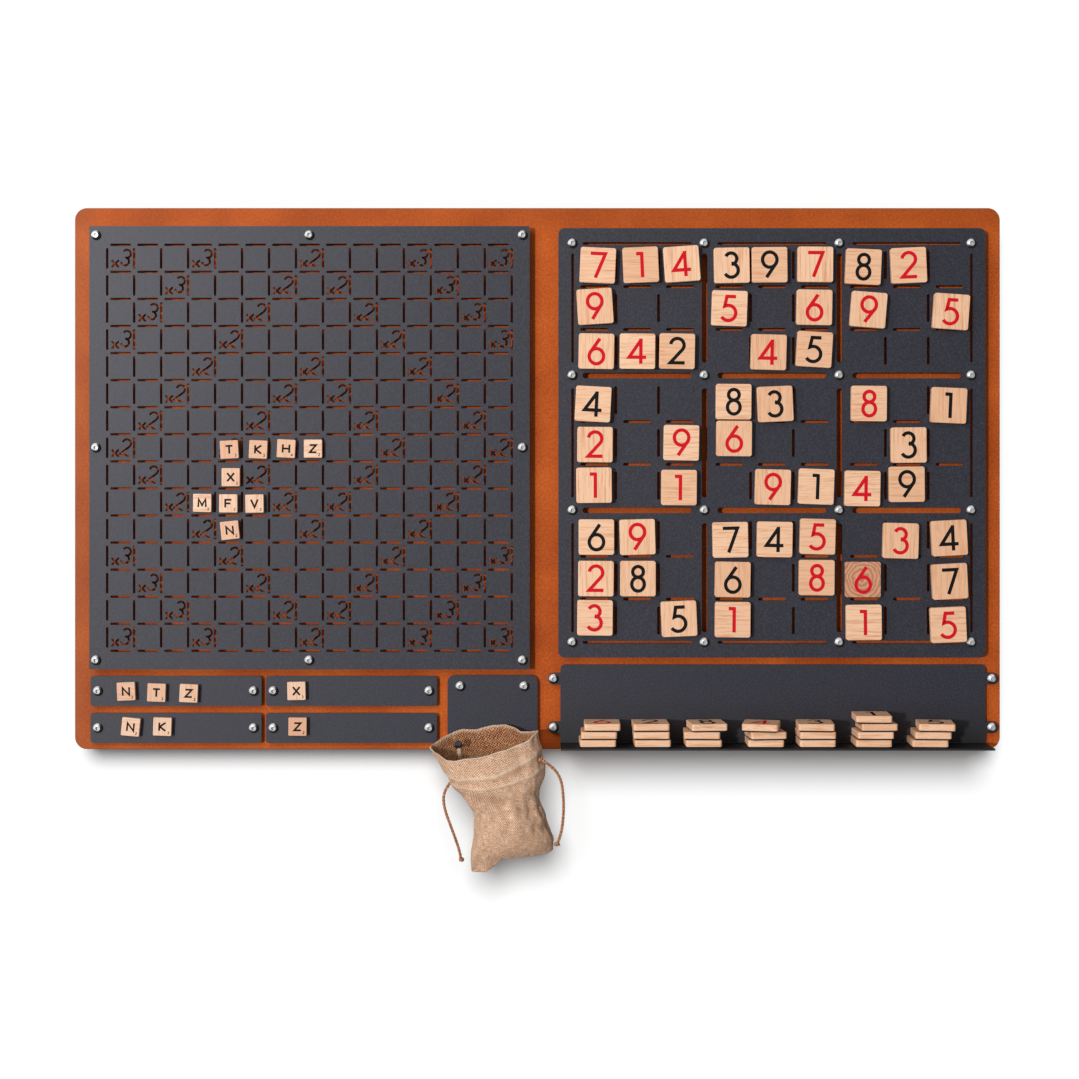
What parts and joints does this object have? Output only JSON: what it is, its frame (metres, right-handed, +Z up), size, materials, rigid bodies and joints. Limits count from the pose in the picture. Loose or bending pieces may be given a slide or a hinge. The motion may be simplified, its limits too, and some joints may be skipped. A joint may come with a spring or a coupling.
{
  "type": "wall game board",
  "caption": "Wall-hung game board: a steel letter grid and a steel sudoku grid on a wooden backing, with tile racks, a tile tray, magnetic wooden tiles and a hooked cloth drawstring bag.",
  "frame": {"origin": "on the wall plane, behind the middle of the backing board", "axes": "+X to the player's right along the long side, +Z up, -Y out of the wall towards the player"},
  "size_m": [1, 0.0726, 0.7063],
  "materials": {
    "stained_board": "rust stained, matt",
    "plate_black": "black powder coat, fine texture",
    "hanger_steel": "zinc plated",
    "screw_steel": "bright zinc",
    "sleeve_black": "moulded",
    "tile_wood": "sanded, clear satin",
    "magnet_sheet": "matt",
    "bag_cloth": "open weave jute",
    "cord_jute": "twisted jute"
  },
  "bodies": {
    "root": {"backing_board": "stained_board", "wall_hangers": "hanger_steel", "hanger_screws": "hanger_steel", "word_plate": "plate_black", "number_plate": "plate_black", "upper_left_rack": "plate_black", "upper_right_rack": "plate_black", "lower_left_rack": "plate_black", "lower_right_rack": "plate_black", "bag_panel": "plate_black", "number_tray": "plate_black", "grid_plate_sleeves": "sleeve_black", "strip_sleeves": "sleeve_black", "grid_plate_screws": "screw_steel", "strip_screws": "screw_steel"},
    "number_1": {"number_tiles_1": "tile_wood", "number_magnets_1": "magnet_sheet"},
    "number_2": {"number_tiles_2": "tile_wood", "number_magnets_2": "magnet_sheet"},
    "number_3": {"number_tiles_3": "tile_wood", "number_magnets_3": "magnet_sheet"},
    "number_4": {"number_tiles_4": "tile_wood", "number_magnets_4": "magnet_sheet"},
    "number_5": {"number_tiles_5": "tile_wood", "number_magnets_5": "magnet_sheet"},
    "number_6": {"number_tiles_6": "tile_wood", "number_magnets_6": "magnet_sheet"},
    "number_7": {"number_tiles_7": "tile_wood", "number_magnets_7": "magnet_sheet"},
    "number_8": {"number_tiles_8": "tile_wood", "number_magnets_8": "magnet_sheet"},
    "number_9": {"number_tiles_9": "tile_wood", "number_magnets_9": "magnet_sheet"},
    "stack_1": {"spare_stack_1": "tile_wood", "spare_magnets_1": "magnet_sheet"},
    "stack_2": {"spare_stack_2": "tile_wood", "spare_magnets_2": "magnet_sheet"},
    "stack_3": {"spare_stack_3": "tile_wood", "spare_magnets_3": "magnet_sheet"},
    "stack_4": {"spare_stack_4": "tile_wood", "spare_magnets_4": "magnet_sheet"},
    "stack_5": {"spare_stack_5": "tile_wood", "spare_magnets_5": "magnet_sheet"},
    "stack_6": {"spare_stack_6": "tile_wood", "spare_magnets_6": "magnet_sheet"},
    "stack_7": {"spare_stack_7": "tile_wood", "spare_magnets_7": "magnet_sheet"},
    "grid_letters": {"grid_letter_tiles": "tile_wood", "grid_letter_magnets": "magnet_sheet"},
    "upper_racks": {"upper_rack_tiles": "tile_wood", "upper_rack_magnets": "magnet_sheet"},
    "lower_racks": {"lower_rack_tiles": "tile_wood", "lower_rack_magnets": "magnet_sheet"},
    "bag": {"letter_bag": "bag_cloth", "left_drawstring": "cord_jute", "right_drawstring": "cord_jute", "drawstring_knots": "cord_jute"}
  },
  "joints": [
    {"name": "number_1_lift", "type": "slide", "parent": "root", "child": "number_1", "axis": [0, -1, 0], "range_m": [0, 0.03]},
    {"name": "number_2_lift", "type": "slide", "parent": "root", "child": "number_2", "axis": [0, -1, 0], "range_m": [0, 0.03]},
    {"name": "number_3_lift", "type": "slide", "parent": "root", "child": "number_3", "axis": [0, -1, 0], "range_m": [0, 0.03]},
    {"name": "number_4_lift", "type": "slide", "parent": "root", "child": "number_4", "axis": [0, -1, 0], "range_m": [0, 0.03]},
    {"name": "number_5_lift", "type": "slide", "parent": "root", "child": "number_5", "axis": [0, -1, 0], "range_m": [0, 0.03]},
    {"name": "number_6_lift", "type": "slide", "parent": "root", "child": "number_6", "axis": [0, -1, 0], "range_m": [0, 0.03]},
    {"name": "number_7_lift", "type": "slide", "parent": "root", "child": "number_7", "axis": [0, -1, 0], "range_m": [0, 0.03]},
    {"name": "number_8_lift", "type": "slide", "parent": "root", "child": "number_8", "axis": [0, -1, 0], "range_m": [0, 0.03]},
    {"name": "number_9_lift", "type": "slide", "parent": "root", "child": "number_9", "axis": [0, -1, 0], "range_m": [0, 0.03]},
    {"name": "stack_1_lift", "type": "slide", "parent": "root", "child": "stack_1", "axis": [0, 0, 1], "range_m": [0, 0.05]},
    {"name": "stack_2_lift", "type": "slide", "parent": "root", "child": "stack_2", "axis": [0, 0, 1], "range_m": [0, 0.05]},
    {"name": "stack_3_lift", "type": "slide", "parent": "root", "child": "stack_3", "axis": [0, 0, 1], "range_m": [0, 0.05]},
    {"name": "stack_4_lift", "type": "slide", "parent": "root", "child": "stack_4", "axis": [0, 0, 1], "range_m": [0, 0.05]},
    {"name": "stack_5_lift", "type": "slide", "parent": "root", "child": "stack_5", "axis": [0, 0, 1], "range_m": [0, 0.05]},
    {"name": "stack_6_lift", "type": "slide", "parent": "root", "child": "stack_6", "axis": [0, 0, 1], "range_m": [0, 0.05]},
    {"name": "stack_7_lift", "type": "slide", "parent": "root", "child": "stack_7", "axis": [0, 0, 1], "range_m": [0, 0.05]},
    {"name": "grid_letters_lift", "type": "slide", "parent": "root", "child": "grid_letters", "axis": [0, -1, 0], "range_m": [0, 0.03]},
    {"name": "upper_racks_lift", "type": "slide", "parent": "root", "child": "upper_racks", "axis": [0, -1, 0], "range_m": [0, 0.03]},
    {"name": "lower_racks_lift", "type": "slide", "parent": "root", "child": "lower_racks", "axis": [0, -1, 0], "range_m": [0, 0.03]},
    {"name": "bag_unhook", "type": "slide", "parent": "root", "child": "bag", "axis": [0, -0.9063, 0.4226], "range_m": [0, 0.06]}
  ]
}
